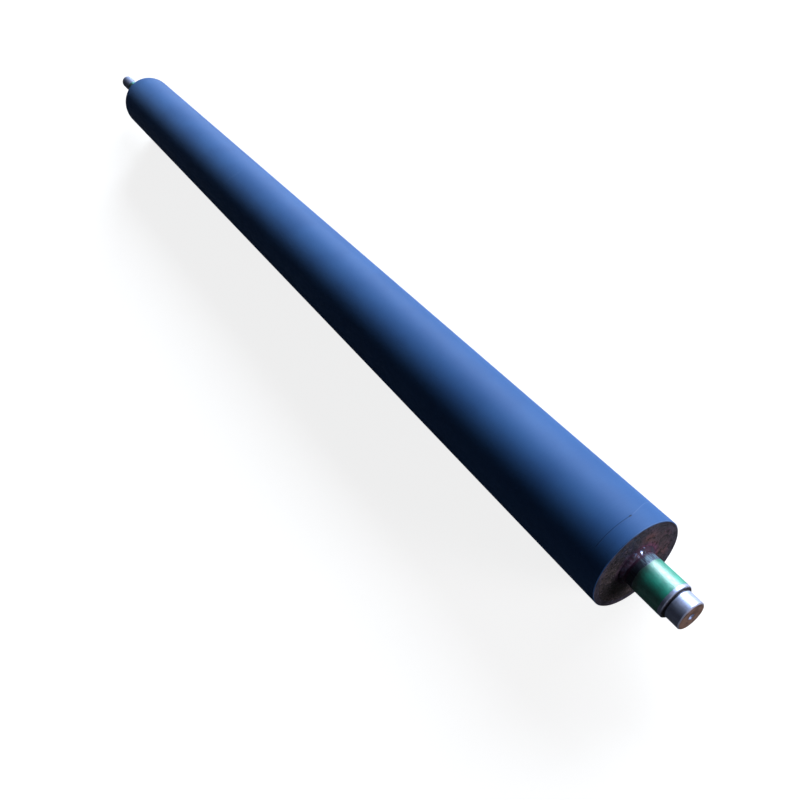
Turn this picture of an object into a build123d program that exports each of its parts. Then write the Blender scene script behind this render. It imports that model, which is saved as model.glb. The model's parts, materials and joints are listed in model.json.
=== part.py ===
from build123d import *
import os

os.makedirs("parts", exist_ok=True)

# Rubber-covered printing press roller: a steel tube with a bonded rubber cover, closed at each end
# by a header disc, and carried on two stub journals that run through the header into an inner disc.
# Millimetres. X runs along the axis towards the near journal, Z is up, and the origin is on the axis
# half way along the overall length.

# Rubber cover and tube
cover_diameter = 165.0
cover_length = 2300.0
cover_thickness = 10.0
cover_edge_chamfer = 1.0
tube_wall = 10.0
register_depth_of_cut = 1.0

# Headers and inner discs, along the axis
header_thickness = 25.0
disc_gap = 90.0
inner_disc_thickness = 16.0

# Journal steps outside the end face; each seat is ground, the root beside the weld is not
seat_diameter = 60.0
seat_length = 77.0
neck_diameter = 50.0
neck_length = 27.0
drive_diameter = 40.0
drive_length = 156.0
root_length = 18.0
root_relief = 0.5
undercut_width = 2.5
undercut_depth = 0.3
journal_chamfer = 1.5

# Journal steps inside the roller: the hub stands proud of the seat, and the tail is a little less
hub_step = 3.0
tail_step = 2.0
tail_overhang = 12.0
tail_chamfer = 3.0

# Centre holes for turning between centres
centre_pilot_diameter = 5.0
centre_sink_diameter = 10.6
centre_depth = 12.0
centre_angle = 60.0

# Welds
rim_groove = 6.0
hub_groove = 3.0
bead_leg = 7.0
tail_weld_leg = 8.0

# Sizes that follow
hub_diameter = seat_diameter + 2 * hub_step
tail_diameter = hub_diameter - 2 * tail_step
tube_diameter = cover_diameter - 2 * cover_thickness
tube_bore = tube_diameter - 2 * tube_wall
register_diameter = tube_bore + 2 * register_depth_of_cut
register_length = header_thickness + disc_gap + inner_disc_thickness
near_reach = seat_length + neck_length
far_reach = seat_length + neck_length + drive_length
cover_centre = (far_reach - near_reach) / 2
near_face = cover_centre + cover_length / 2
far_face = cover_centre - cover_length / 2

# Each end is drawn on a plane of its own: local X points out of the roller along the axis, from the
# end face, and local Y is the radius. The mouth planes lie in the end faces and look out instead.
near_end = Plane(origin=(near_face, 0, 0), x_dir=(1, 0, 0), z_dir=(0, -1, 0))
far_end = Plane(origin=(far_face, 0, 0), x_dir=(-1, 0, 0), z_dir=(0, 1, 0))
near_mouth = Plane(origin=(near_face, 0, 0), x_dir=(0, 1, 0), z_dir=(1, 0, 0))
far_mouth = Plane(origin=(far_face, 0, 0), x_dir=(0, -1, 0), z_dir=(-1, 0, 0))


def save(piece, name):
    piece.part.label = name
    export_step(piece.part, "parts/" + name + ".step")


def turned(plane, outline):
    # A solid of revolution about the roller's axis from a closed outline of (along, radius) points
    with BuildPart() as piece:
        with BuildSketch(plane):
            with BuildLine():
                Polyline(outline, close=True)
            make_face()
        revolve(axis=Axis.X)
    return piece


# The rubber cover, ground on its outside, with its sharp corners broken
with BuildPart() as rubber_cover:
    with BuildSketch(Plane.YZ.offset(far_face)):
        Circle(cover_diameter / 2)
        Circle(tube_diameter / 2, mode=Mode.SUBTRACT)
    extrude(amount=cover_length)
    cover_rims = rubber_cover.edges().filter_by(GeomType.CIRCLE).group_by(SortBy.RADIUS)[-1]
    chamfer(cover_rims, length=cover_edge_chamfer)
save(rubber_cover, "rubber_cover")


# The tube, with a register bored into each end for the two discs and a groove for the rim weld
with BuildPart() as roller_tube:
    with BuildSketch(Plane.YZ.offset(far_face)):
        Circle(tube_diameter / 2)
        Circle(tube_bore / 2, mode=Mode.SUBTRACT)
    extrude(amount=cover_length)
    for mouth in (near_mouth, far_mouth):
        with BuildSketch(mouth):
            Circle(register_diameter / 2)
        extrude(amount=-register_length, mode=Mode.SUBTRACT)
    tube_ends = roller_tube.faces().filter_by(Axis.X)
    mouths = [tube_ends.sort_by(Axis.X)[i].inner_wires()[0].edges()[0] for i in (0, -1)]
    chamfer(mouths, length=rim_groove)
save(roller_tube, "roller_tube")


# Header disc: fills the tube's register, and is bevelled at its rim and bore for the welds
def header(plane):
    rim = register_diameter / 2
    bore = hub_diameter / 2
    return turned(plane, [
        (0, bore + hub_groove),
        (0, rim - rim_groove),
        (-rim_groove, rim),
        (-header_thickness, rim),
        (-header_thickness, bore),
        (-hub_groove, bore),
    ])


save(header(near_end), "near_header")
save(header(far_end), "far_header")


# Inner disc: rests on the register's shoulder and holds the journal's tail
def inner_disc(plane):
    outer_side = -(header_thickness + disc_gap)
    inner_side = -register_length
    return turned(plane, [
        (outer_side, tail_diameter / 2),
        (outer_side, register_diameter / 2),
        (inner_side, register_diameter / 2),
        (inner_side, tail_diameter / 2),
    ])


save(inner_disc(near_end), "near_inner_disc")
save(inner_disc(far_end), "far_inner_disc")


# Journal: a stub shaft. Inside, its hub fills the header and stops on the inner disc, and its tail
# goes through that disc. Outside, the steps follow in the order given, each (diameter, length).
def journal(plane, steps):
    hub_end = -(header_thickness + disc_gap)
    tail_end = -(register_length + tail_overhang)
    outline = [
        (tail_end, 0),
        (tail_end, tail_diameter / 2 - tail_chamfer),
        (tail_end + tail_chamfer, tail_diameter / 2),
        (hub_end, tail_diameter / 2),
        (hub_end, hub_diameter / 2),
        (0, hub_diameter / 2),
    ]
    start = 0
    for i, (diameter, length) in enumerate(steps):
        radius = diameter / 2
        relief_width = root_length if i == 0 else undercut_width
        relief_depth = root_relief if i == 0 else undercut_depth
        end = start + length
        outline += [
            (start, radius - relief_depth),
            (start + relief_width, radius - relief_depth),
            (start + relief_width, radius),
            (end - journal_chamfer, radius),
            (end, radius - journal_chamfer),
        ]
        start = end
    outline.append((start, 0))
    piece = turned(plane, outline)
    tip = Plane(origin=plane.from_local_coords((start, 0, 0)), x_dir=plane.y_dir, z_dir=plane.x_dir)
    with piece:
        with Locations(tip):
            CounterSinkHole(
                centre_pilot_diameter / 2,
                centre_sink_diameter / 2,
                depth=centre_depth,
                counter_sink_angle=centre_angle,
            )
    return piece


seat_step = (seat_diameter, seat_length)
neck_step = (neck_diameter, neck_length)
drive_step = (drive_diameter, drive_length)
save(journal(near_end, [seat_step, neck_step]), "near_journal")
save(journal(far_end, [seat_step, neck_step, drive_step]), "far_journal")


# Rim weld: fills the groove between header and tube, faced flush with the end
def rim_weld(plane):
    rim = register_diameter / 2
    return turned(plane, [(0, rim - rim_groove), (0, rim + rim_groove), (-rim_groove, rim)])


save(rim_weld(near_end), "near_header_weld")
save(rim_weld(far_end), "far_header_weld")


# Root weld: fills the bevel of the header's bore and rises to the journal in a flat fillet
def root_weld(plane):
    root = seat_diameter / 2 - root_relief
    bore = hub_diameter / 2
    return turned(plane, [
        (bead_leg, root),
        (0, root + bead_leg),
        (0, bore + hub_groove),
        (-hub_groove, bore),
        (0, bore),
        (0, root),
    ])


save(root_weld(near_end), "near_journal_weld")
save(root_weld(far_end), "far_journal_weld")


# Tail weld: a plain fillet where the tail comes through the inner disc
def tail_weld(plane):
    disc_side = -register_length
    tail = tail_diameter / 2
    return turned(plane, [
        (disc_side, tail),
        (disc_side, tail + tail_weld_leg),
        (disc_side - tail_weld_leg, tail),
    ])


save(tail_weld(near_end), "near_tail_weld")
save(tail_weld(far_end), "far_tail_weld")
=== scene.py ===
import json
import math

import bmesh
import bpy
from mathutils import Matrix, Vector, noise


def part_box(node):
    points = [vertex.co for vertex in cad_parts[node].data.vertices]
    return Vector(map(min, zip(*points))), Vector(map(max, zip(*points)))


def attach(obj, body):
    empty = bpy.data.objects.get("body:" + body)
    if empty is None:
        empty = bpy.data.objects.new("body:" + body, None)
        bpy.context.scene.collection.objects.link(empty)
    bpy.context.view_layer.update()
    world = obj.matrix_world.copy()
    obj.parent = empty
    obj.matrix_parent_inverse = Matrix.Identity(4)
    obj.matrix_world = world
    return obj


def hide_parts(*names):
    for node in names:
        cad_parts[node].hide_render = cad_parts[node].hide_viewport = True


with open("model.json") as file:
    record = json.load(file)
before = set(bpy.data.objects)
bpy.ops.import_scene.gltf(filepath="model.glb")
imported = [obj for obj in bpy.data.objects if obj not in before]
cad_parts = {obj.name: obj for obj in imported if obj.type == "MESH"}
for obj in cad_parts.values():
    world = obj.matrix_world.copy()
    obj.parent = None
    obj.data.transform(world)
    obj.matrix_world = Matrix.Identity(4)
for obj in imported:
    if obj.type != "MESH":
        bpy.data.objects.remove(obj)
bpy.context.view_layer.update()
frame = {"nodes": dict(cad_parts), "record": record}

MM = 0.001

# Sizes read from the frame, in metres along the axis and from it
cover_low, cover_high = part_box("rubber_cover")
near_face = cover_high.x
far_face = cover_low.x
cover_radius = cover_high.y
tube_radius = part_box("roller_tube")[1].y
rim_weld_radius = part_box("near_header_weld")[1].y
header_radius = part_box("near_header")[1].y
header_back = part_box("near_header")[0].x - near_face
hub_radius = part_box("near_journal")[1].y
bead_low, bead_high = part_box("near_journal_weld")
bead_reach = bead_high.x - near_face
bead_radius = bead_high.y
bead_depth = near_face - bead_low.x
mounts = {mount["name"]: mount for mount in frame["record"]["mounts"]}
seat = mounts["near_bearing_seat"]
drive = mounts["far_drive_end"]
seat_radius = seat["dims"]["r_mm"] * MM
seat_length = seat["dims"]["length_mm"] * MM
seat_start = seat["pos_m"][0] - near_face - seat_length / 2
seat_end = seat_start + seat_length
drive_radius = drive["dims"]["r_mm"] * MM
drive_start = far_face - drive["pos_m"][0] - drive["dims"]["length_mm"] * MM / 2
neck_radius = mounts["near_neck"]["dims"]["r_mm"] * MM
root_radius = seat_radius - 0.5 * MM

# Each end has its face along X and the way out of the roller there
NEAR = (near_face, 1)
FAR = (far_face, -1)


# Small helpers for shader trees

def tone(red, green, blue):
    """A colour as it reads on screen, 0 to 255, turned to the linear values that sockets take."""
    def linear(level):
        level = level / 255
        return level / 12.92 if level <= 0.04045 else ((level + 0.055) / 1.055) ** 2.4
    return (linear(red), linear(green), linear(blue), 1.0)


def feed(tree, socket, value):
    """Links a socket to another one, or sets its own number or colour."""
    if isinstance(value, bpy.types.NodeSocket):
        tree.links.new(value, socket)
    else:
        socket.default_value = value


def calc(tree, operation, first, second=0.0, clamp=False):
    node = tree.nodes.new("ShaderNodeMath")
    node.operation = operation
    node.use_clamp = clamp
    feed(tree, node.inputs[0], first)
    feed(tree, node.inputs[1], second)
    return node.outputs[0]


def fade(tree, value, start, end, low=0.0, high=1.0):
    """Goes softly from low at start to high at end, and stays there."""
    node = tree.nodes.new("ShaderNodeMapRange")
    node.interpolation_type = "SMOOTHSTEP"
    for name, number in (("From Min", start), ("From Max", end), ("To Min", low), ("To Max", high)):
        node.inputs[name].default_value = number
    feed(tree, node.inputs["Value"], value)
    return node.outputs["Result"]


def blend(tree, mask, colour, other):
    """The first colour where mask is 0, the other where it is 1."""
    node = tree.nodes.new("ShaderNodeMix")
    node.data_type = "RGBA"
    feed(tree, node.inputs[0], mask)
    feed(tree, node.inputs[6], colour)
    feed(tree, node.inputs[7], other)
    return node.outputs[2]


def cloud(tree, vector, scale, detail=4.0, roughness=0.55):
    """Soft noise in space; scale is in spots per metre."""
    node = tree.nodes.new("ShaderNodeTexNoise")
    feed(tree, node.inputs["Vector"], vector)
    node.inputs["Scale"].default_value = scale
    node.inputs["Detail"].default_value = detail
    node.inputs["Roughness"].default_value = roughness
    return node.outputs["Fac"]


def stretch(tree, vector, along, across=1.0):
    """Scales a position along the roller's axis and across it, so that noise on it draws out in streaks."""
    node = tree.nodes.new("ShaderNodeVectorMath")
    node.operation = "MULTIPLY"
    feed(tree, node.inputs[0], vector)
    node.inputs[1].default_value = (along, across, across)
    return node.outputs["Vector"]


def lines(tree, place, pitch, detail=3.0):
    """Noise along one direction only, such as the fine rings that a cutting tool leaves."""
    node = tree.nodes.new("ShaderNodeTexNoise")
    node.noise_dimensions = "1D"
    feed(tree, node.inputs["W"], place)
    node.inputs["Scale"].default_value = 1 / pitch
    node.inputs["Detail"].default_value = detail
    return node.outputs["Fac"]


def bump(tree, height, distance, strength=1.0):
    node = tree.nodes.new("ShaderNodeBump")
    node.inputs["Distance"].default_value = distance
    node.inputs["Strength"].default_value = strength
    feed(tree, node.inputs["Height"], height)
    return node.outputs["Normal"]


def attribute(tree, name):
    node = tree.nodes.new("ShaderNodeAttribute")
    node.attribute_name = name
    return node.outputs["Fac"]


def new_group(name, inputs, outputs):
    """An empty node group with its sockets, and the nodes that stand for them inside."""
    tree = bpy.data.node_groups.new(name, "ShaderNodeTree")
    for label, kind in inputs:
        tree.interface.new_socket(name=label, in_out="INPUT", socket_type=kind)
    for label, kind in outputs:
        tree.interface.new_socket(name=label, in_out="OUTPUT", socket_type=kind)
    return tree, tree.nodes.new("NodeGroupInput"), tree.nodes.new("NodeGroupOutput")


def use_group(tree, group, **inputs):
    node = tree.nodes.new("ShaderNodeGroup")
    node.node_tree = group
    for label, value in inputs.items():
        feed(tree, node.inputs[label.replace("_", " ").capitalize()], value)
    return node.outputs


def new_material(name):
    material = bpy.data.materials.new(name)
    material.use_nodes = True
    tree = material.node_tree
    return material, tree, tree.nodes["Principled BSDF"].inputs


# Node groups that several materials share

def make_place_group():
    """Where a point lies on the roller: its distance out from an end face, its radius, its side from -1
    at -Y to 1 at +Y, how squarely it faces along the axis, and the plain position."""
    tree, given, out = new_group(
        "roller_place",
        [("Face", "NodeSocketFloat"), ("Way out", "NodeSocketFloat")],
        [
            ("Out", "NodeSocketFloat"),
            ("Radius", "NodeSocketFloat"),
            ("Side", "NodeSocketFloat"),
            ("Facing", "NodeSocketFloat"),
            ("Position", "NodeSocketVector"),
        ],
    )
    where = tree.nodes.new("ShaderNodeTexCoord")
    parts = tree.nodes.new("ShaderNodeSeparateXYZ")
    tree.links.new(where.outputs["Object"], parts.inputs[0])
    from_face = calc(tree, "SUBTRACT", parts.outputs["X"], given.outputs["Face"])
    tree.links.new(calc(tree, "MULTIPLY", from_face, given.outputs["Way out"]), out.inputs["Out"])
    across = calc(tree, "MULTIPLY", parts.outputs["Y"], parts.outputs["Y"])
    upward = calc(tree, "MULTIPLY", parts.outputs["Z"], parts.outputs["Z"])
    radius = calc(tree, "SQRT", calc(tree, "ADD", across, upward))
    tree.links.new(radius, out.inputs["Radius"])
    tree.links.new(calc(tree, "DIVIDE", parts.outputs["Y"], radius), out.inputs["Side"])
    surface = tree.nodes.new("ShaderNodeNewGeometry")
    normal = tree.nodes.new("ShaderNodeSeparateXYZ")
    tree.links.new(surface.outputs["True Normal"], normal.inputs[0])
    tree.links.new(calc(tree, "ABSOLUTE", normal.outputs["X"]), out.inputs["Facing"])
    tree.links.new(where.outputs["Object"], out.inputs["Position"])
    return tree


def make_turned_group():
    """Rings left by turning or grinding, across a cylinder's length and an end face's radius alike."""
    tree, given, out = new_group(
        "turned_finish",
        [("Out", "NodeSocketFloat"), ("Radius", "NodeSocketFloat"), ("Position", "NodeSocketVector")],
        [("Height", "NodeSocketFloat"), ("Shade", "NodeSocketFloat")],
    )
    place = calc(tree, "ADD", given.outputs["Out"], given.outputs["Radius"])
    fine = lines(tree, place, 0.35 * MM, detail=2.0)
    broad = lines(tree, place, 2.5 * MM, detail=3.0)
    patchy = cloud(tree, given.outputs["Position"], 60, detail=3.0)
    height = calc(tree, "ADD", fine, calc(tree, "MULTIPLY", broad, 0.8))
    tree.links.new(height, out.inputs["Height"])
    shade = calc(tree, "ADD", calc(tree, "MULTIPLY", fine, 0.25), calc(tree, "MULTIPLY", broad, 0.55))
    shade = calc(tree, "ADD", shade, calc(tree, "MULTIPLY", patchy, 0.2))
    tree.links.new(shade, out.inputs["Shade"])
    return tree


def make_grime_group():
    """Dirt and scale: broad stains, small flakes and fine specks, each as a mask, and their relief."""
    tree, given, out = new_group(
        "grime",
        [("Position", "NodeSocketVector")],
        [
            ("Stain", "NodeSocketFloat"),
            ("Flake", "NodeSocketFloat"),
            ("Speck", "NodeSocketFloat"),
            ("Height", "NodeSocketFloat"),
        ],
    )
    spot = given.outputs["Position"]
    stain = fade(tree, cloud(tree, spot, 45, detail=5.0), 0.42, 0.62)
    flake = fade(tree, cloud(tree, spot, 170, detail=5.0, roughness=0.65), 0.50, 0.60)
    speck = fade(tree, cloud(tree, spot, 700, detail=3.0, roughness=0.6), 0.58, 0.66)
    tree.links.new(stain, out.inputs["Stain"])
    tree.links.new(flake, out.inputs["Flake"])
    tree.links.new(speck, out.inputs["Speck"])
    relief = calc(tree, "ADD", calc(tree, "MULTIPLY", stain, 0.5), flake)
    relief = calc(tree, "ADD", relief, calc(tree, "MULTIPLY", speck, 0.4))
    tree.links.new(relief, out.inputs["Height"])
    return tree


place_group = make_place_group()
turned_group = make_turned_group()
grime_group = make_grime_group()


# Materials

def make_cover_rubber():
    """Ground rubber: blue, satin, with faint grinding rings, a dark scored line and a pale one. The scored
    line's dark is painted shade in its cut, and the end chamfers carry a painted highlight on the +Y side
    and painted shade round the rest.
    """
    material, tree, shader = new_material("cover_rubber")
    place = use_group(tree, place_group, face=near_face, way_out=1.0)
    grain = cloud(tree, place["Position"], 1400, detail=2.0)
    haze = cloud(tree, place["Position"], 9, detail=4.0)
    rings = lines(tree, place["Out"], 1.6 * MM, detail=4.0)
    colour = blend(tree, fade(tree, haze, 0.3, 0.7), tone(44, 90, 152), tone(51, 99, 162))
    colour = blend(tree, fade(tree, rings, 0.35, 0.75, 0.0, 0.25), colour, tone(58, 106, 172))
    colour = blend(tree, fade(tree, grain, 0.35, 0.7, 0.0, 0.25), colour, tone(32, 70, 126))
    # The pale attribute also paints a highlight along the end chamfers on the +Y side.
    colour = blend(tree, attribute(tree, "pale_line_and_painted_highlight"), colour, tone(150, 168, 205))
    # The dark attribute paints shade inside the scored cut and the nick, and painted shade round the end
    # chamfers away from the +Y side.
    colour = blend(tree, attribute(tree, "dark_line_and_painted_shade"), colour, tone(10, 14, 24))
    tree.links.new(colour, shader["Base Color"])
    tree.links.new(fade(tree, grain, 0.3, 0.7, 0.54, 0.66), shader["Roughness"])
    shader["Specular IOR Level"].default_value = 0.2
    shader["Sheen Weight"].default_value = 0.14
    shader["Sheen Roughness"].default_value = 0.5
    shader["Sheen Tint"].default_value = tone(180, 214, 255)
    height = calc(tree, "ADD", grain, calc(tree, "MULTIPLY", rings, 0.6))
    tree.links.new(bump(tree, height, 0.05 * MM, 0.6), shader["Normal"])
    return material


def make_cut_rubber():
    """The cover's cut ends: dull purple-grey, speckled, torn a little by the knife."""
    material, tree, shader = new_material("cut_rubber")
    place = use_group(tree, place_group, face=near_face, way_out=1.0)
    grime = use_group(tree, grime_group, position=place["Position"])
    colour = blend(tree, grime["Stain"], tone(48, 44, 54), tone(70, 63, 76))
    colour = blend(tree, calc(tree, "MULTIPLY", grime["Flake"], 0.6), colour, tone(28, 25, 34))
    colour = blend(tree, calc(tree, "MULTIPLY", grime["Speck"], 0.7), colour, tone(118, 108, 126))
    tree.links.new(colour, shader["Base Color"])
    tree.links.new(fade(tree, grime["Flake"], 0.0, 1.0, 0.75, 0.9), shader["Roughness"])
    shader["Specular IOR Level"].default_value = 0.25
    tree.links.new(bump(tree, grime["Height"], 0.3 * MM, 0.8), shader["Normal"])
    return material


def make_scaled_steel():
    """The rough steel of an end: black scale, brown rust on the +Y side, which also paints that side lighter
    as painted light, pale dust, and a violet heat tint by the weld, painted lighter on the +Y side too."""
    material, tree, shader = new_material("header_steel")
    place = use_group(tree, place_group, face=near_face, way_out=1.0)
    grime = use_group(tree, grime_group, position=place["Position"])
    # Rust gathered on the +Y side: real rust, and painted light too, as it makes the side facing the lamps
    # lighter.
    rust_and_painted_light = calc(
        tree,
        "MULTIPLY",
        fade(tree, place["Side"], 0.2, 0.75),
        fade(tree, place["Radius"], tube_radius - 20 * MM, tube_radius, 1.0, 0.3),
    )
    rust = calc(tree, "MULTIPLY", fade(tree, grime["Stain"], 0.0, 1.0, 0.4, 1.0), rust_and_painted_light)
    earthy = fade(tree, place["Side"], -0.45, 0.0, 1.0, 0.0)
    dark = blend(tree, earthy, tone(26, 30, 48), tone(36, 31, 30))
    light = blend(tree, earthy, tone(54, 54, 76), tone(72, 62, 62))
    colour = blend(tree, grime["Stain"], dark, light)
    colour = blend(tree, rust, colour, tone(108, 74, 76))
    colour = blend(tree, calc(tree, "MULTIPLY", grime["Flake"], 0.9), colour, tone(14, 12, 20))
    colour = blend(tree, calc(tree, "MULTIPLY", grime["Speck"], 0.8), colour, tone(136, 118, 134))
    heat = fade(tree, place["Radius"], bead_radius - 2 * MM, bead_radius + 11 * MM, 0.8, 0.0)
    heat = calc(tree, "MULTIPLY", heat, fade(tree, grime["Flake"], 0.0, 1.0, 1.0, 0.4))
    # The heat tint is painted lighter on the +Y side: painted light.
    colour = blend(tree, heat, colour, blend(tree, rust_and_painted_light, tone(60, 32, 62), tone(126, 72, 108)))
    tree.links.new(colour, shader["Base Color"])
    tree.links.new(fade(tree, grime["Stain"], 0.0, 1.0, 0.6, 0.85), shader["Roughness"])
    shader["Specular IOR Level"].default_value = 0.3
    tree.links.new(bump(tree, grime["Height"], 0.6 * MM, 1.0), shader["Normal"])
    return material


def make_weld_steel():
    """A weld as laid: sooty blue-black, with violet tints and a few bare glossy spots, most of them in a
    band on the +Y side as painted glints.
    """
    material, tree, shader = new_material("weld_steel")
    place = use_group(tree, place_group, face=near_face, way_out=1.0)
    tint = cloud(tree, place["Position"], 60, detail=3.0)
    bare = fade(tree, cloud(tree, place["Position"], 220, detail=3.0), 0.5, 0.6)
    # Bare pale spots gather in a band on the +Y side, about 37 to 84 degrees from +Y, where they paint
    # glints of the lamp; elsewhere only a tenth of them show.
    glint_band_from = fade(tree, place["Side"], 0.1, 0.3)
    glint_band_to = fade(tree, place["Side"], 0.6, 0.8, 1.0, 0.0)
    painted_glint_band = calc(tree, "MULTIPLY", glint_band_from, glint_band_to)
    bare = calc(tree, "MULTIPLY", bare, fade(tree, painted_glint_band, 0.0, 1.0, 0.1, 1.0))
    colour = blend(tree, fade(tree, tint, 0.4, 0.6), tone(42, 30, 54), tone(66, 34, 60))
    colour = blend(tree, bare, colour, tone(150, 160, 196))
    tree.links.new(colour, shader["Base Color"])
    tree.links.new(fade(tree, bare, 0.0, 1.0, 0.3, 0.85), shader["Metallic"])
    tree.links.new(fade(tree, bare, 0.0, 1.0, 0.6, 0.28), shader["Roughness"])
    tree.links.new(bump(tree, tint, 0.3 * MM, 0.4), shader["Normal"])
    return material


def make_journal_steel(name, face, way_out, tarnish):
    """A journal: dark and tinted by the weld, ground on its steps, and dull brown on its end face, with a
    bright centre hole. Its root is painted dark on the -Y side, its shoulders dark brown, and a band in the
    corner
    beyond each seat dark: all painted shade."""
    material, tree, shader = new_material(name)
    place = use_group(tree, place_group, face=face, way_out=way_out)
    turned = use_group(
        tree, turned_group, out=place["Out"], radius=place["Radius"], position=place["Position"]
    )
    grime = use_group(tree, grime_group, position=place["Position"])
    ground = blend(tree, turned["Shade"], tone(160, 174, 220), tone(212, 222, 248))
    ground = blend(tree, tarnish, ground, tone(72, 76, 92))
    colour = blend(tree, fade(tree, grime["Speck"], 0.0, 1.0, 0.0, 0.25), ground, tone(90, 82, 96))
    root = fade(tree, place["Out"], seat_start + 3 * MM, seat_start + 4 * MM, 1.0, 0.0)
    streak = cloud(tree, stretch(tree, place["Position"], 0.2), 420, detail=3.0)
    bare = blend(tree, fade(tree, streak, 0.4, 0.6), tone(142, 178, 206), tone(76, 88, 118))
    # The root's -Y side is painted dark: painted shade on the side away from the lamps.
    bare = blend(tree, fade(tree, place["Side"], 0.1, 0.55, 0.9, 0.0), bare, tone(32, 30, 46))
    colour = blend(tree, root, colour, bare)
    heat = fade(tree, place["Out"], bead_reach, bead_reach + 5 * MM, 0.75, 0.0)
    colour = blend(tree, heat, colour, tone(96, 46, 84))
    flat = fade(tree, place["Facing"], 0.5, 0.95)
    rust = blend(tree, grime["Stain"], tone(96, 72, 62), tone(130, 100, 88))
    rust = blend(tree, calc(tree, "MULTIPLY", grime["Flake"], 0.5), rust, tone(64, 48, 42))
    # The shoulder faces are painted dark brown: painted shade.
    shoulder = fade(tree, place["Radius"], neck_radius - 1 * MM, neck_radius)
    rust = blend(tree, shoulder, rust, tone(52, 40, 42))
    colour = blend(tree, flat, colour, rust)
    # A ragged dark band in the corner just past the seat's end: painted shade.
    corner = calc(tree, "ABSOLUTE", calc(tree, "SUBTRACT", place["Out"], seat_end + 2.5 * MM))
    ragged_corner = calc(tree, "ADD", corner, calc(tree, "MULTIPLY", streak, 2 * MM))
    painted_corner_shade = fade(tree, ragged_corner, 2 * MM, 3 * MM, 0.8, 0.0)
    colour = blend(tree, painted_corner_shade, colour, tone(34, 30, 38))
    tree.links.new(colour, shader["Base Color"])
    dull = calc(tree, "MAXIMUM", flat, root)
    tree.links.new(fade(tree, dull, 0.0, 1.0, 0.65, 0.1), shader["Metallic"])
    rough = fade(tree, turned["Shade"], 0.35, 0.65, 0.32, 0.56)
    rough = calc(tree, "ADD", rough, calc(tree, "MULTIPLY", flat, 0.3))
    rough = calc(tree, "ADD", rough, calc(tree, "MULTIPLY", root, 0.15), clamp=True)
    tree.links.new(rough, shader["Roughness"])
    tree.links.new(bump(tree, turned["Height"], 0.02 * MM, 0.6), shader["Normal"])
    return material


def make_green_film():
    """Thin green masking film, drawn tight over ground steel, darker near its start by the weld on its -Y
    half.
    """
    material, tree, shader = new_material("green_film")
    place = use_group(tree, place_group, face=near_face, way_out=1.0)
    streak = cloud(tree, place["Position"], 90, detail=4.0)
    crease = cloud(tree, place["Position"], 420, detail=3.0)
    colour = blend(tree, fade(tree, streak, 0.35, 0.65), tone(3, 160, 138), tone(10, 180, 156))
    colour = blend(tree, fade(tree, crease, 0.56, 0.68, 0.0, 0.35), colour, tone(3, 116, 94))
    # Darker near the film's start, with a ragged reach, on the -Y half only.
    reach = calc(tree, "ADD", place["Out"], calc(tree, "MULTIPLY", streak, 8 * MM))
    root_darkening = fade(tree, reach, seat_start + 6 * MM, seat_start + 24 * MM, 0.85, 0.0)
    root_darkening = calc(tree, "MULTIPLY", root_darkening, fade(tree, place["Side"], 0.15, 0.5, 1.0, 0.0))
    colour = blend(tree, root_darkening, colour, tone(8, 30, 32))
    tree.links.new(colour, shader["Base Color"])
    tree.links.new(fade(tree, crease, 0.3, 0.7, 0.36, 0.5), shader["Roughness"])
    shader["Specular IOR Level"].default_value = 1.0
    shader["IOR"].default_value = 1.8
    tree.links.new(bump(tree, crease, 0.06 * MM, 0.5), shader["Normal"])
    return material


def make_mill_steel():
    """Plain steel inside the roller."""
    material, tree, shader = new_material("tube_steel")
    place = use_group(tree, place_group, face=near_face, way_out=1.0)
    grime = use_group(tree, grime_group, position=place["Position"])
    colour = blend(tree, grime["Stain"], tone(58, 48, 52), tone(84, 70, 70))
    colour = blend(tree, calc(tree, "MULTIPLY", grime["Flake"], 0.6), colour, tone(30, 26, 30))
    tree.links.new(colour, shader["Base Color"])
    shader["Metallic"].default_value = 0.4
    tree.links.new(fade(tree, grime["Stain"], 0.0, 1.0, 0.45, 0.7), shader["Roughness"])
    tree.links.new(bump(tree, grime["Height"], 0.2 * MM, 0.7), shader["Normal"])
    return material


cover_rubber = make_cover_rubber()
cut_rubber = make_cut_rubber()
scaled_steel = make_scaled_steel()
weld_steel = make_weld_steel()
near_ground = make_journal_steel("near_journal_steel", near_face, 1.0, 0.0)
far_ground = make_journal_steel("far_journal_steel", far_face, -1.0, 0.3)
green_film = make_green_film()
mill_steel = make_mill_steel()


# Meshes of revolution

def soft_step(value, start, end):
    """0 before start, 1 after end, and smooth between; start may be the larger."""
    share = min(max((value - start) / (end - start), 0.0), 1.0)
    return share * share * (3 - 2 * share)


def lathe(name, section, segments, end=(0.0, 1), lines_of=None):
    """A closed ring about the roller's axis. section(angle) gives its (out, radius) points, as many at each
    angle, where angle runs from +Y over +Z. lines_of(angle) gives a value for each point, per attribute."""
    face, way_out = end
    corners, faces, values = [], [], {}
    count = len(section(0.0))
    for k in range(segments):
        angle = 2 * math.pi * k / segments
        for out, radius in section(angle):
            corners.append((face + way_out * out, radius * math.cos(angle), radius * math.sin(angle)))
        for label, column in (lines_of(angle) if lines_of else {}).items():
            values.setdefault(label, []).extend(column)
        after = (k + 1) % segments
        for i in range(count):
            j = (i + 1) % count
            faces.append((k * count + i, k * count + j, after * count + j, after * count + i))
    mesh = bpy.data.meshes.new(name)
    mesh.from_pydata(corners, [], faces)
    for label, column in values.items():
        mesh.attributes.new(label, "FLOAT", "POINT").data.foreach_set("value", column)
    shape = bmesh.new()
    shape.from_mesh(mesh)
    bmesh.ops.recalc_face_normals(shape, faces=shape.faces)
    shape.to_mesh(mesh)
    shape.free()
    mesh.shade_smooth()
    mesh.set_sharp_from_angle(angle=math.radians(35))
    piece = bpy.data.objects.new(name, mesh)
    bpy.context.scene.collection.objects.link(piece)
    return piece


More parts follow.
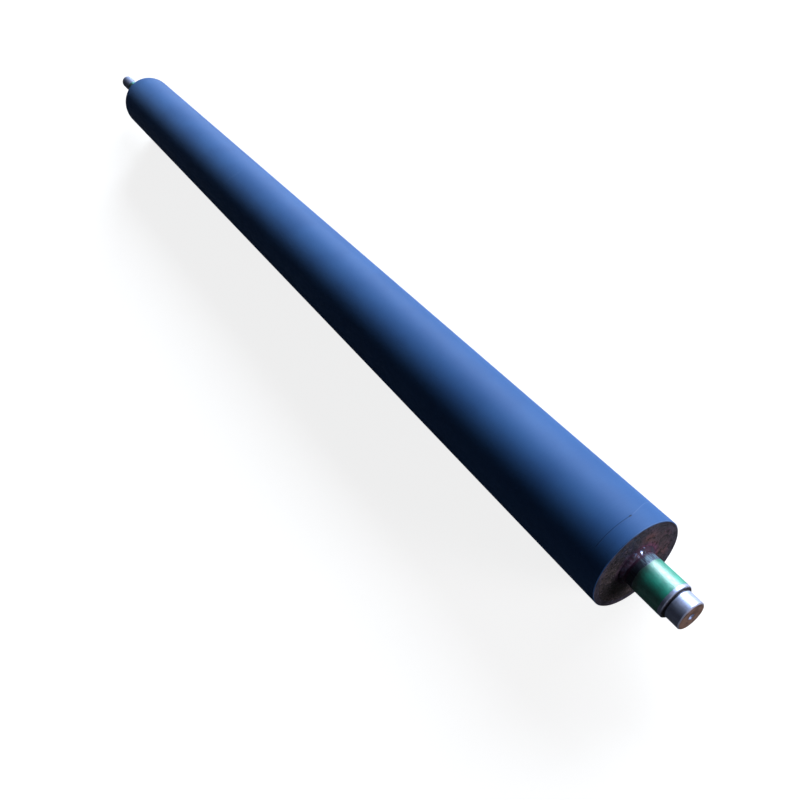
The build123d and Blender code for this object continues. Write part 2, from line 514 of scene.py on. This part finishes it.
def place_piece(piece, slot_name, materials, *nodes):
    """Gives a piece its materials, and its place on the roller's one body."""
    for material in materials:
        piece.data.materials.append(material)
    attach(piece, "root")
    if nodes:
        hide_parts(*nodes)
    return piece


# The rubber cover, with the scored line near its near end and the pale one further along. The scored cut is
# painted dark as painted shade, and the end chamfers carry a painted highlight and painted shade.

cover_chamfer = 1.0 * MM
cut_relief = 0.35 * MM
score_half_width = 0.7 * MM
score_depth = 0.35 * MM
nick_angle = 60
face_rings = 7


def score_out(degrees):
    """How far from the near face the scored line runs: straight round the top, then drifting inward."""
    return -(29 * MM + 13 * MM * soft_step(degrees, 62, 20))


def far_line_out(degrees):
    return -(1425 * MM + 10 * MM * soft_step(degrees, 80, 105))


def degrees_from_edge(angle):
    """The angle in degrees from -180 to 180, 0 at +Y and 90 at the top."""
    return (math.degrees(angle) + 180) % 360 - 180


def cut_end(angle, sign):
    """Points across the cut rubber end, from the tube out to the chamfer, hollowed a little by the knife."""
    points = []
    for i in range(face_rings):
        radius = tube_radius + (cover_radius - cover_chamfer - tube_radius) * i / (face_rings - 1)
        spot = Vector((sign, radius * math.cos(angle), radius * math.sin(angle))) / (3.5 * MM)
        inside = 0 if i in (0, face_rings - 1) else 1
        points.append((cut_relief * inside * (0.5 + 0.5 * noise.noise(spot)), radius))
    return points


def cover_rows(degrees):
    """Places along the cover's outside from the near end, each with its depth below the surface."""
    near_line = score_out(degrees)
    far_line = far_line_out(degrees)
    cut = soft_step(degrees, 112, 106) * soft_step(degrees, 56, 60)
    rows = [(-cover_chamfer, 0), (-1.5 * cover_chamfer, 0), (-6 * MM, 0), (-14 * MM, 0)]
    for share, depth in ((-2, 0), (-1, 0), (0, score_depth * cut), (1, 0), (2, 0)):
        rows.append((near_line - share * score_half_width, depth))
    rows += [(-70 * MM, 0), (-200 * MM, 0), (-600 * MM, 0), (-1100 * MM, 0)]
    for share in (-2, -1, 0, 1, 2):
        rows.append((far_line - share * score_half_width, 0))
    rows += [(-1700 * MM, 0), (-2100 * MM, 0), (-2270 * MM, 0)]
    rows.append((far_face - near_face + 1.5 * cover_chamfer, 0))
    rows.append((far_face - near_face + cover_chamfer, 0))
    return rows


def cover_section(angle):
    degrees = degrees_from_edge(angle)
    points = [(-depth, radius) for depth, radius in cut_end(angle, 1)]
    points += [(out, cover_radius - depth) for out, depth in cover_rows(degrees)]
    length = near_face - far_face
    points += [(depth - length, radius) for depth, radius in reversed(cut_end(angle, -1))]
    return points


def cover_lines(angle):
    degrees = degrees_from_edge(angle)
    rows = cover_rows(degrees)
    dark = [0.0] * len(rows)
    pale = [0.0] * len(rows)
    near_centre, far_centre = 6, 15
    # The scored line's dark colour is painted shade inside the cut; the nick is painted dark the same way.
    dark[near_centre] = 0.85 * soft_step(degrees, 112, 104) * soft_step(degrees, 57, 61)
    pale[near_centre] = 0.22 * soft_step(degrees, 60, 52) * soft_step(degrees, -25, -5)
    if abs(degrees - nick_angle) < 1.2:
        dark[near_centre - 1:near_centre + 2] = [0.9, 1.0, 0.9]
    pale[far_centre] = 0.25 * soft_step(degrees, 112, 100) * soft_step(degrees, 66, 76)
    # Painted light on the end chamfers: a pale painted highlight on the side towards the lamp, painted shade
    # round the rest.
    lit = soft_step(abs(degrees - 25), 65, 40)
    dark[0] = dark[-1] = 0.6 * (1 - lit)
    pale[0] = pale[-1] = 0.3 * lit
    ends = [0.0] * face_rings
    return {"dark_line_and_painted_shade": ends + dark + ends, "pale_line_and_painted_highlight": ends + pale + ends}


cover = lathe("rubber_sleeve", cover_section, 360, NEAR, cover_lines)
place_piece(cover, "cover_rubber", [cover_rubber, cut_rubber], "rubber_cover")
for side in cover.data.polygons:
    if abs(side.normal.x) > 0.9:
        side.material_index = 1


# The steel end faces: header and rim weld share one rough relief

relief_depth = 0.8 * MM


def face_relief(way_out, angle, radius):
    """How far the rough end lies below its true plane: scale, pits and hammer marks, none at the tube."""
    spot = Vector((way_out * 5, radius * math.cos(angle) / MM, radius * math.sin(angle) / MM))
    broad = noise.noise(spot / 14)
    small = noise.fractal(spot / 4.5, 0.8, 2.1, 4)
    weld_dip = math.exp(-(((radius - header_radius) / (2.5 * MM)) ** 2))
    rough = 0.45 + 0.3 * broad + 0.35 * small - 0.3 * weld_dip
    calm = soft_step(radius, rim_weld_radius, rim_weld_radius - 2 * MM)
    return relief_depth * max(rough, 0.0) * calm


def ring_radii(inner, outer, count):
    return [inner + (outer - inner) * i / (count - 1) for i in range(count)]


def make_header(name, end, node):
    rim_groove = rim_weld_radius - header_radius
    bore_groove = bead_radius - hub_radius

    def section(angle):
        face = [
            (-face_relief(end[1], angle, radius), radius)
            for radius in ring_radii(hub_radius + bore_groove, header_radius - rim_groove, 22)
        ]
        rim = [(-rim_groove, header_radius), (header_back, header_radius)]
        bore = [(header_back, hub_radius), (-bore_groove, hub_radius)]
        return face + rim + bore

    piece = lathe(name, section, 360, end)
    place_piece(piece, "header_steel", [scaled_steel], node)


def make_rim_weld(name, end, node):
    groove = rim_weld_radius - header_radius

    def section(angle):
        face = [
            (-face_relief(end[1], angle, radius), radius)
            for radius in ring_radii(header_radius - groove, header_radius + groove, 12)
        ]
        return face + [(-groove, header_radius)]

    piece = lathe(name, section, 360, end)
    place_piece(piece, "weld_steel", [scaled_steel], node)


make_header("near_header_plate", NEAR, "near_header")
make_header("far_header_plate", FAR, "far_header")
make_rim_weld("near_rim_weld", NEAR, "near_header_weld")
make_rim_weld("far_rim_weld", FAR, "far_header_weld")


# The root welds: overlapping ripples round the journal, uneven as laid by hand

ripple_count = 34
crown_points = 9


def make_root_weld(name, end, node):
    def section(angle):
        spin = Vector((end[1] * 7, 3 * math.cos(angle), 3 * math.sin(angle)))
        lump = noise.noise(spin)
        wander = 0.6 * noise.noise(spin * 2.3)
        reach = bead_reach - 0.8 * MM + 0.8 * MM * lump
        foot = bead_radius - 0.7 * MM + 0.7 * MM * noise.noise(spin * 1.7 + Vector((9, 0, 0)))
        crown = []
        for i in range(crown_points):
            share = i / (crown_points - 1)
            place = ripple_count * angle / (2 * math.pi) + wander + 0.9 * (share - 0.5) ** 2
            ripple = 1 - (place % 1.0) ** 1.6
            belly = math.sin(math.pi * share)
            swell = belly * (0.7 + 0.55 * ripple + 0.5 * lump) * MM
            out = reach * (1 - share) + swell * 0.7
            radius = root_radius - 0.3 * MM + (foot - root_radius + 0.3 * MM) * share + swell * 0.7
            crown.append((out - 0.4 * MM * share, radius))
        return crown + [(-bead_depth, hub_radius), (-bead_depth, root_radius - 0.3 * MM)]

    piece = lathe(name, section, 880, end)
    place_piece(piece, "weld_steel", [weld_steel], node)


make_root_weld("near_root_weld", NEAR, "near_journal_weld")
make_root_weld("far_root_weld", FAR, "far_journal_weld")


# Green masking film, wound tight round the bearing seats and the start of the far drive end

film_thickness = 0.1 * MM
film_rows = 26


def make_film(name, end, start, stop, radius, ragged):
    def section(angle):
        around = Vector((end[1] * 3 + start / MM, 2.2 * math.cos(angle), 2.2 * math.sin(angle)))
        torn = ragged * (noise.fractal(around * 1.6, 0.9, 2.0, 4))
        first = start + torn
        last = stop + 0.25 * MM * noise.noise(around * 0.8)
        lap = film_thickness * soft_step((math.degrees(angle) - 215) % 360, 12, 11.5)
        outside = []
        for i in range(film_rows):
            share = i / (film_rows - 1)
            along = first + (last - first) * share
            crease = 0.05 * MM * noise.fractal(around * 4 + Vector((along / (6 * MM), 0, 0)), 0.8, 2.0, 3)
            outside.append((along, radius + film_thickness + lap + crease))
        return outside + [(last, radius), (first, radius)]

    piece = lathe(name, section, 360, end)
    place_piece(piece, "journal_steel", [green_film])


film_start = seat_start + 3.2 * MM
film_stop = seat_end - 5 * MM
make_film("near_seat_film", NEAR, film_start, film_stop, seat_radius, 1.2 * MM)
make_film("far_seat_film", FAR, film_start, film_stop, seat_radius, 1.2 * MM)
make_film("far_drive_film", FAR, drive_start + 4 * MM, drive_start + 78 * MM, drive_radius, 1.2 * MM)


# Materials of the CAD nodes that stay

def refinish(node, material):
    slots = frame["nodes"][node].material_slots
    for slot in slots:
        slot.material = material
    if not slots:
        frame["nodes"][node].data.materials.append(material)


refinish("near_journal", near_ground)
refinish("far_journal", far_ground)
refinish("roller_tube", scaled_steel)
for node in ("near_inner_disc", "far_inner_disc", "near_tail_weld", "far_tail_weld"):
    refinish(node, mill_steel)


# Floor, light and camera

def make_floor():
    """A pale floor that looks white and still takes the roller's shadow. Glossy surfaces also see it glow on
    the +Y side only, an emission that shows only in their reflections."""
    size = 40.0
    corners = [(-size, -size), (size, -size), (size, size), (-size, size)]
    mesh = bpy.data.meshes.new("floor")
    mesh.from_pydata([(x, y, -cover_radius) for x, y in corners], [], [(0, 1, 2, 3)])
    floor = bpy.data.objects.new("floor", mesh)
    bpy.context.scene.collection.objects.link(floor)
    material = bpy.data.materials.new("pale_floor")
    material.use_nodes = True
    tree = material.node_tree
    tree.nodes.clear()
    cloth = tree.nodes.new("ShaderNodeBsdfDiffuse")
    glow = tree.nodes.new("ShaderNodeEmission")
    path = tree.nodes.new("ShaderNodeLightPath")
    seen = path.outputs["Is Camera Ray"]
    feed(tree, cloth.inputs["Color"], blend(tree, seen, (0.2, 0.2, 0.2, 1), (0.6, 0.6, 0.6, 1)))
    where = tree.nodes.new("ShaderNodeTexCoord")
    across = tree.nodes.new("ShaderNodeSeparateXYZ")
    tree.links.new(where.outputs["Object"], across.inputs[0])
    # A glow for reflections only, on the +Y side: painted reflection light that no lamp casts.
    glossy_glow_side = fade(tree, across.outputs["Y"], -0.1, 0.5)
    mirrored = calc(tree, "MULTIPLY", path.outputs["Is Glossy Ray"], glossy_glow_side)
    strength = calc(tree, "ADD", calc(tree, "MULTIPLY", seen, 0.84), mirrored)
    tree.links.new(strength, glow.inputs["Strength"])
    both = tree.nodes.new("ShaderNodeAddShader")
    tree.links.new(cloth.outputs[0], both.inputs[0])
    tree.links.new(glow.outputs[0], both.inputs[1])
    tree.links.new(both.outputs[0], tree.nodes.new("ShaderNodeOutputMaterial").inputs["Surface"])
    mesh.materials.append(material)


def make_world():
    """Dim light from all round, shown as white where the floor ends. Glossy surfaces see a pale blue wall
    of light on the +Y side, from the floor up to wall_slope."""
    world = bpy.data.worlds.new("studio")
    world.use_nodes = True
    tree = world.node_tree
    tree.nodes.clear()
    path = tree.nodes.new("ShaderNodeLightPath")
    sky = tree.nodes.new("ShaderNodeBackground")
    where = tree.nodes.new("ShaderNodeTexCoord")
    toward = tree.nodes.new("ShaderNodeSeparateXYZ")
    tree.links.new(where.outputs["Generated"], toward.inputs[0])
    wall_slope = 1.6
    above_wall = calc(
        tree, "SUBTRACT", toward.outputs["Z"], calc(tree, "MULTIPLY", toward.outputs["Y"], wall_slope)
    )
    wall = fade(tree, above_wall, -0.4, 0.1, 1.0, 0.0)
    wall = calc(tree, "MULTIPLY", wall, path.outputs["Is Glossy Ray"])
    seen = blend(tree, wall, (0.024, 0.025, 0.028, 1), (0.4, 0.6, 1, 1))
    feed(tree, sky.inputs["Color"], blend(tree, path.outputs["Is Camera Ray"], seen, (1, 1, 1, 1)))
    tree.links.new(sky.outputs[0], tree.nodes.new("ShaderNodeOutputWorld").inputs["Surface"])
    bpy.context.scene.world = world


def make_lamp(name, strength, spread, azimuth, elevation, colour):
    """A broad distant lamp; azimuth runs from +Y towards +X, both angles and the spread in degrees."""
    lamp = bpy.data.lights.new(name, "SUN")
    lamp.energy = strength
    lamp.angle = math.radians(spread)
    lamp.color = colour
    holder = bpy.data.objects.new(name, lamp)
    turn = math.radians(azimuth)
    rise = math.radians(elevation)
    to_lamp = Vector((math.sin(turn) * math.cos(rise), math.cos(turn) * math.cos(rise), math.sin(rise)))
    holder.rotation_mode = "QUATERNION"
    holder.rotation_quaternion = to_lamp.to_track_quat("Z", "Y")
    bpy.context.scene.collection.objects.link(holder)


def make_camera():
    """Stands beyond the near end and well above it, and looks down along the roller."""
    lens = bpy.data.cameras.new("camera")
    lens.sensor_width = 36.0
    lens.lens = 34.28
    lens.clip_start = 0.05
    lens.clip_end = 200.0
    holder = bpy.data.objects.new("camera", lens)
    forward = Vector((-0.6523, -0.0239, -0.7576)).normalized()
    upward = Vector((-0.5482, 0.7051, 0.4498))
    right = forward.cross(upward).normalized()
    upward = right.cross(forward)
    place = Vector((1.6419, -0.0487, 1.1166))
    holder.matrix_world = Matrix.Translation(place) @ Matrix((right, upward, -forward)).transposed().to_4x4()
    bpy.context.scene.collection.objects.link(holder)
    bpy.context.scene.camera = holder


make_floor()
make_world()
make_lamp("key_lamp", 7.2, 54, -22, 6, (0.84, 0.92, 1.0))
make_lamp("face_lamp", 2.3, 24, 62, 6, (0.98, 0.97, 1.0))
make_camera()
bpy.context.scene.view_settings.view_transform = "Standard"
